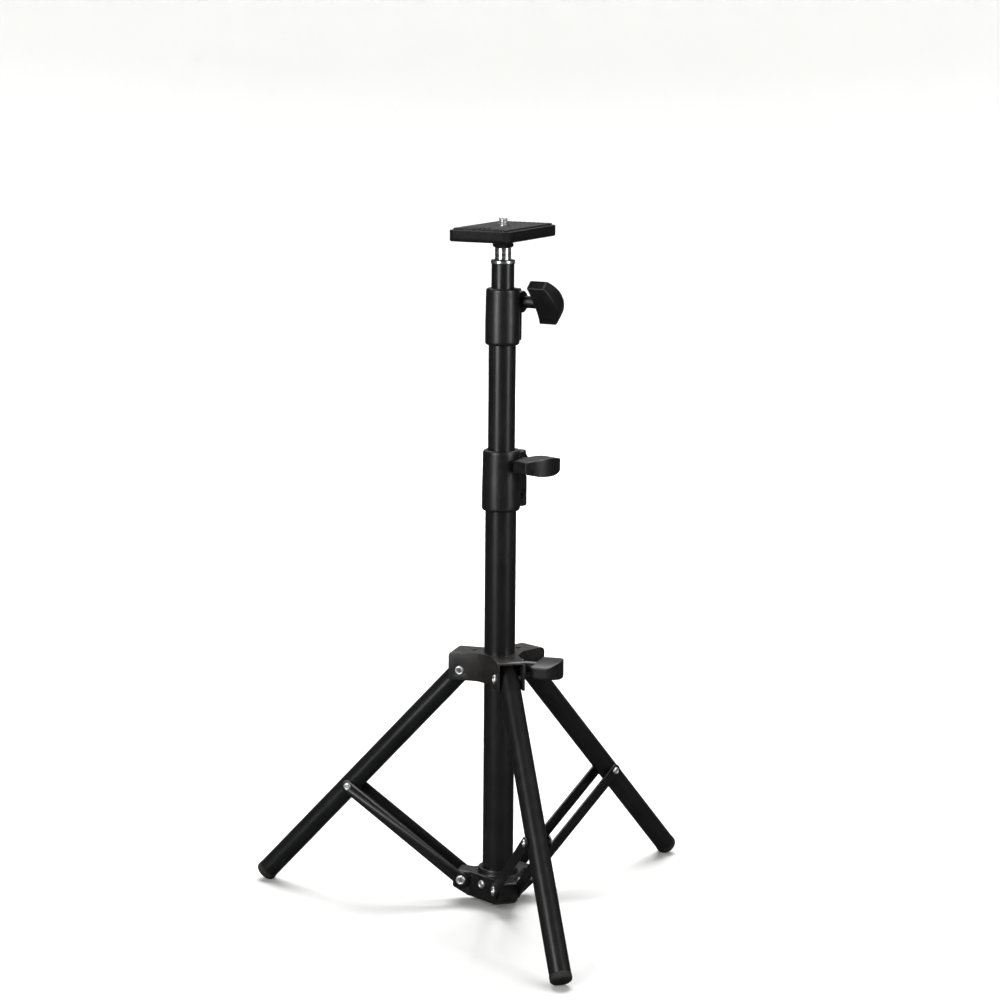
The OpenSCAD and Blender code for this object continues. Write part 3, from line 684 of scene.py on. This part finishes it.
# Rolled rivets: sizes in mm, half is the distance from the middle of the grip to the head's seat
rivets = {
    "crown": {"head": 6.8, "hole": 3, "shank": 4.6, "height": 1.2,
        "holeDepth": 7.5, "reach": 9.9, "half": 10, "seed": 3},
    "foot": {"head": 7.2, "hole": 3, "shank": 4.6, "height": 1.2,
        "holeDepth": 7.5, "reach": 9.1, "half": 9.28, "seed": 5},
    "strut": {"head": 5.4, "hole": 1.9, "shank": 3.8, "height": 1.0,
        "holeDepth": 0.9, "reach": 1.35, "half": 9.2, "seed": 7},
    "hub": {"head": 6.2, "hole": 2.4, "shank": 3.4, "height": 1.1,
        "holeDepth": 4.2, "reach": 4.9, "half": 16, "seed": 9, "turns": (60, 180, 300)},
}


def setRivets(name, kind, stations, body, node):
    mesh = onStations(name, rivetMesh(name, rivets[kind]), stations, zincSteel, rivets[kind]["seed"])
    addPiece(name, mesh, body, zincSteel, [node], sharpAngle=50)


crownStations = [s for leg in legNames for s in jointStations(f"leg_{leg}_fold", rivets["crown"]["half"])]
setRivets("crown_rivets_rolled", "crown", crownStations, "crown", "crown_rivets")
footStations = [s for leg in legNames for s in jointStations(f"strut_{leg}_fold", rivets["foot"]["half"])]
setRivets("strut_foot_rivets_rolled", "foot", footStations, "base", "strut_foot_rivets")
for leg in legNames:
    node = f"strut_rivets_{leg}"
    corners = [vertex.co for vertex in frame["nodes"][node].data.vertices]
    middle = Vector([(min(c[i] for c in corners) + max(c[i] for c in corners)) / 2 for i in range(3)])
    axis = Vector(jointOf[f"strut_{leg}_fold"]["axis"])
    stations = [(middle + axis * side * rivets["strut"]["half"] * mm, axis * side) for side in (-1, 1)]
    setRivets(node + "_rolled", "strut", stations, f"strut_{leg}", node)
# The hub's rivets sit between the arms, level with the bars' hinges
hubHeight = jointOf["strut_front_fold"]["pos_m"][2]
hubStations = []
for turn in rivets["hub"]["turns"]:
    a = math.radians(turn)
    way = Vector((math.sin(a), -math.cos(a), 0))
    hubStations.append((way * rivets["hub"]["half"] * mm + Vector((0, 0, hubHeight)), way))
setRivets("spider_screws_rolled", "hub", hubStations, "base", "spider_screws")
print("rivets ready")


# Turned and threaded hardware

nutBevel = {"flat": 0.95, "angle": 30, "bore": 0.25}


def hexagonEdge(across, a):
    # The hexagon's distance from its middle along an angle
    return across / 2 / math.cos((a + math.pi / 6) % (math.pi / 3) - math.pi / 6)


def nutMesh(name, across, height, bore):
    # A hexagon nut, bevelled at both ends
    flat = across / 2 * nutBevel["flat"]
    slope = math.tan(math.radians(nutBevel["angle"]))

    def rim(top):
        def point(a):
            radius = hexagonEdge(across, a)
            drop = (radius - flat) * slope
            return radius * mm, (height - drop if top else drop) * mm
        return point

    cut = nutBevel["bore"]
    lower = [(bore / 2, cut), (bore / 2 + cut, 0), (flat, 0)]
    upper = [(flat, height), (bore / 2 + cut, height), (bore / 2, height - cut)]
    return lathe(name, inMetres(lower) + [rim(False), rim(True)] + inMetres(upper), roundSteps["nut"])


def threadRings(thread, low, high):
    # Rings of a single-start thread: the depth follows a helix round the shank
    rings = []
    count = round((high - low) / thread["pitch"] * thread["ringsPerTurn"])
    for i in range(count + 1):
        z = low + (high - low) * i / count

        def point(a, z=z):
            phase = (z / thread["pitch"] - a / (2 * math.pi)) % 1
            drop = thread["depth"] * abs(2 * phase - 1) ** thread["flank"]
            return (thread["radius"] - drop) * mm, z * mm
        rings.append(point)
    return rings


nuts = {
    "knob": {"across": 8, "height": 2.6, "bore": 5},
    "clamp": {"across": 7, "height": 2.4, "bore": 4},
}
ear = {"half": 6, "lowerBoss": 1, "upperBoss": 4.5}
clampScrew = {
    "lower": (13.9, 298.5),     # distance from the column's axis, height above the floor
    "upper": (12.5, 415.5),
    "seat": 4.6,
    "head": 3.5,
    "shank": 2,
    "tip": -13.2,
    "slot": (3.6, 0.8, 2.4),
    "slotMiddle": 1.95,
    "slotTurns": (35, 125),
}


def clampScrewMesh():
    # A pan-head screw with a cross recess, its head's seat on the origin
    head, shank, tip = clampScrew["head"], clampScrew["shank"], clampScrew["tip"]
    profile = [(0, tip), (shank - 0.4, tip), (shank, tip + 0.5), (shank, 0), (head, 0), (head, 0.9),
        (head - 0.2, 1.45), (head - 0.7, 1.95), (head - 1.6, 2.2), (0, 2.25)]
    mesh = lathe("clampScrew", inMetres(profile), roundSteps["screw"])
    for turn in clampScrew["slotTurns"]:
        mesh = carve(mesh, block(clampScrew["slot"], (0, 0, clampScrew["slotMiddle"]), turn))
    return mesh


for level, body in (("lower", "base"), ("upper", "middle_section")):
    turnJoint = jointOf[f"{level}_knob_turn"]
    way = Vector(turnJoint["axis"])
    out = Vector((-way.y, way.x, 0))
    # The knob's screw and the clamp screw both end in a nut on the rear ear
    knobSeat = Vector(turnJoint["pos_m"]) - way * (2 * ear["half"] + ear[level + "Boss"]) * mm
    reach, height = clampScrew[level]
    axisPoint = out * reach * mm + Vector((0, 0, height * mm))
    clampSeat = axisPoint - way * ear["half"] * mm
    knobNut = onStations("nut", nutMesh("nut", **nuts["knob"]), [(knobSeat, -way)], zincSteel, 2)
    clampNut = onStations("nut", nutMesh("nut", **nuts["clamp"]), [(clampSeat, -way)], zincSteel, 4)
    bothNuts = joined("nuts", [knobNut, clampNut])
    addPiece(f"{level}_collar_nuts", bothNuts, body, zincSteel, sharpAngle=25)
    screw = clampScrewMesh()
    screw.transform(towards(axisPoint + way * clampScrew["seat"] * mm, way))
    addPiece(f"{level}_clamp_screw_cross", screw, body, oxideSteel,
        [f"{level}_clamp_screw"], sharpAngle=35)
print("collar screws and nuts ready")

# Head hardware, heights in mm above the floor
head = {
    "spigotFoot": 461.5,
    "nutFoot": 472.8,
    "nutTurn": 12,
    "padTop": 487.8,
    "tip": 493.8,
    "shank": 2.8,
    "nut": {"across": 12.6, "height": 3.3, "bore": 6.35},
    "thread": {
        "radius": 3.175,
        "depth": 0.5,
        "pitch": 1.27,
        "flank": 0.8,       # 1 gives straight flanks, less a wider root
        "ringsPerTurn": 8,
        "padGap": 0.6,
        "tipGap": 0.5,
    },
}

# Plug inside the tube, the ring on its rim, the fillet and the bright post
spigotProfile = [(0, -18), (6.8, -18), (6.8, 0),
    (8.1, 0), *arc(8.1, 0.4, 0.4, -90, 0, 4), (8.5, 1.9), *arc(7.6, 1.9, 0.9, 10, 90, 6),
    (6.2, 2.8), *arc(6.2, 3.35, 0.55, 270, 180, 5),
    (5.65, 10.8), *arc(5.15, 10.8, 0.5, 0, 90, 4), (0, 11.3)]
spigotRings = inMetres([(r, z + head["spigotFoot"]) for r, z in spigotProfile])
spigot = lathe("spigot", spigotRings, roundSteps["spigot"])
addPiece("spigot_turned", spigot, "top_section", chromeSteel, ["spigot"], sharpAngle=50)

lockNut = nutMesh("head_nut", **head["nut"])
lockNut.transform(Matrix.Translation((0, 0, head["nutFoot"] * mm))
    @ Matrix.Rotation(math.radians(head["nutTurn"]), 4, "Z"))
addPiece("head_nut_bevelled", lockNut, "top_section", oxideSteel, ["head_nut"], sharpAngle=25)

thread = head["thread"]
low, high = head["padTop"] + thread["padGap"], head["tip"] - thread["tipGap"]
screwProfile = [(0, head["nutFoot"]), (head["shank"], head["nutFoot"]), (head["shank"], low - 0.1)]
screwTip = [(thread["radius"] - thread["depth"] - 0.05, high + 0.15), (2.2, head["tip"]), (0, head["tip"])]
screwRings = inMetres(screwProfile) + threadRings(thread, low, high) + inMetres(screwTip)
headScrew = lathe("head_screw", screwRings, roundSteps["screw"])
addPiece("head_screw_threaded", headScrew, "top_section", zincSteel,
    ["head_screw"], sharpAngle=60)

# The pad's friction grooves run along the tray
pad = {"turn": -38.6, "pitch": 3.6, "count": 11, "width": 1.3, "depth": 0.55, "reach": 96, "cutterHeight": 2}
padTurn = math.radians(pad["turn"])
grooveHeight = head["padTop"] - pad["depth"] + pad["cutterHeight"] / 2
grooves = []
for i in range(pad["count"]):
    across = (i - (pad["count"] - 1) / 2) * pad["pitch"]
    middle = (across * math.cos(padTurn), across * math.sin(padTurn), grooveHeight)
    grooves.append(block((pad["width"], pad["reach"], pad["cutterHeight"]), middle, pad["turn"]))
padMesh = carve(cadCopy("tray_pad", "tray_pad"), joined("grooves", grooves))
addPiece("tray_pad_grooved", padMesh, "top_section", rubberBlack, ["tray_pad"], sharpAngle=35)
print("head ready")
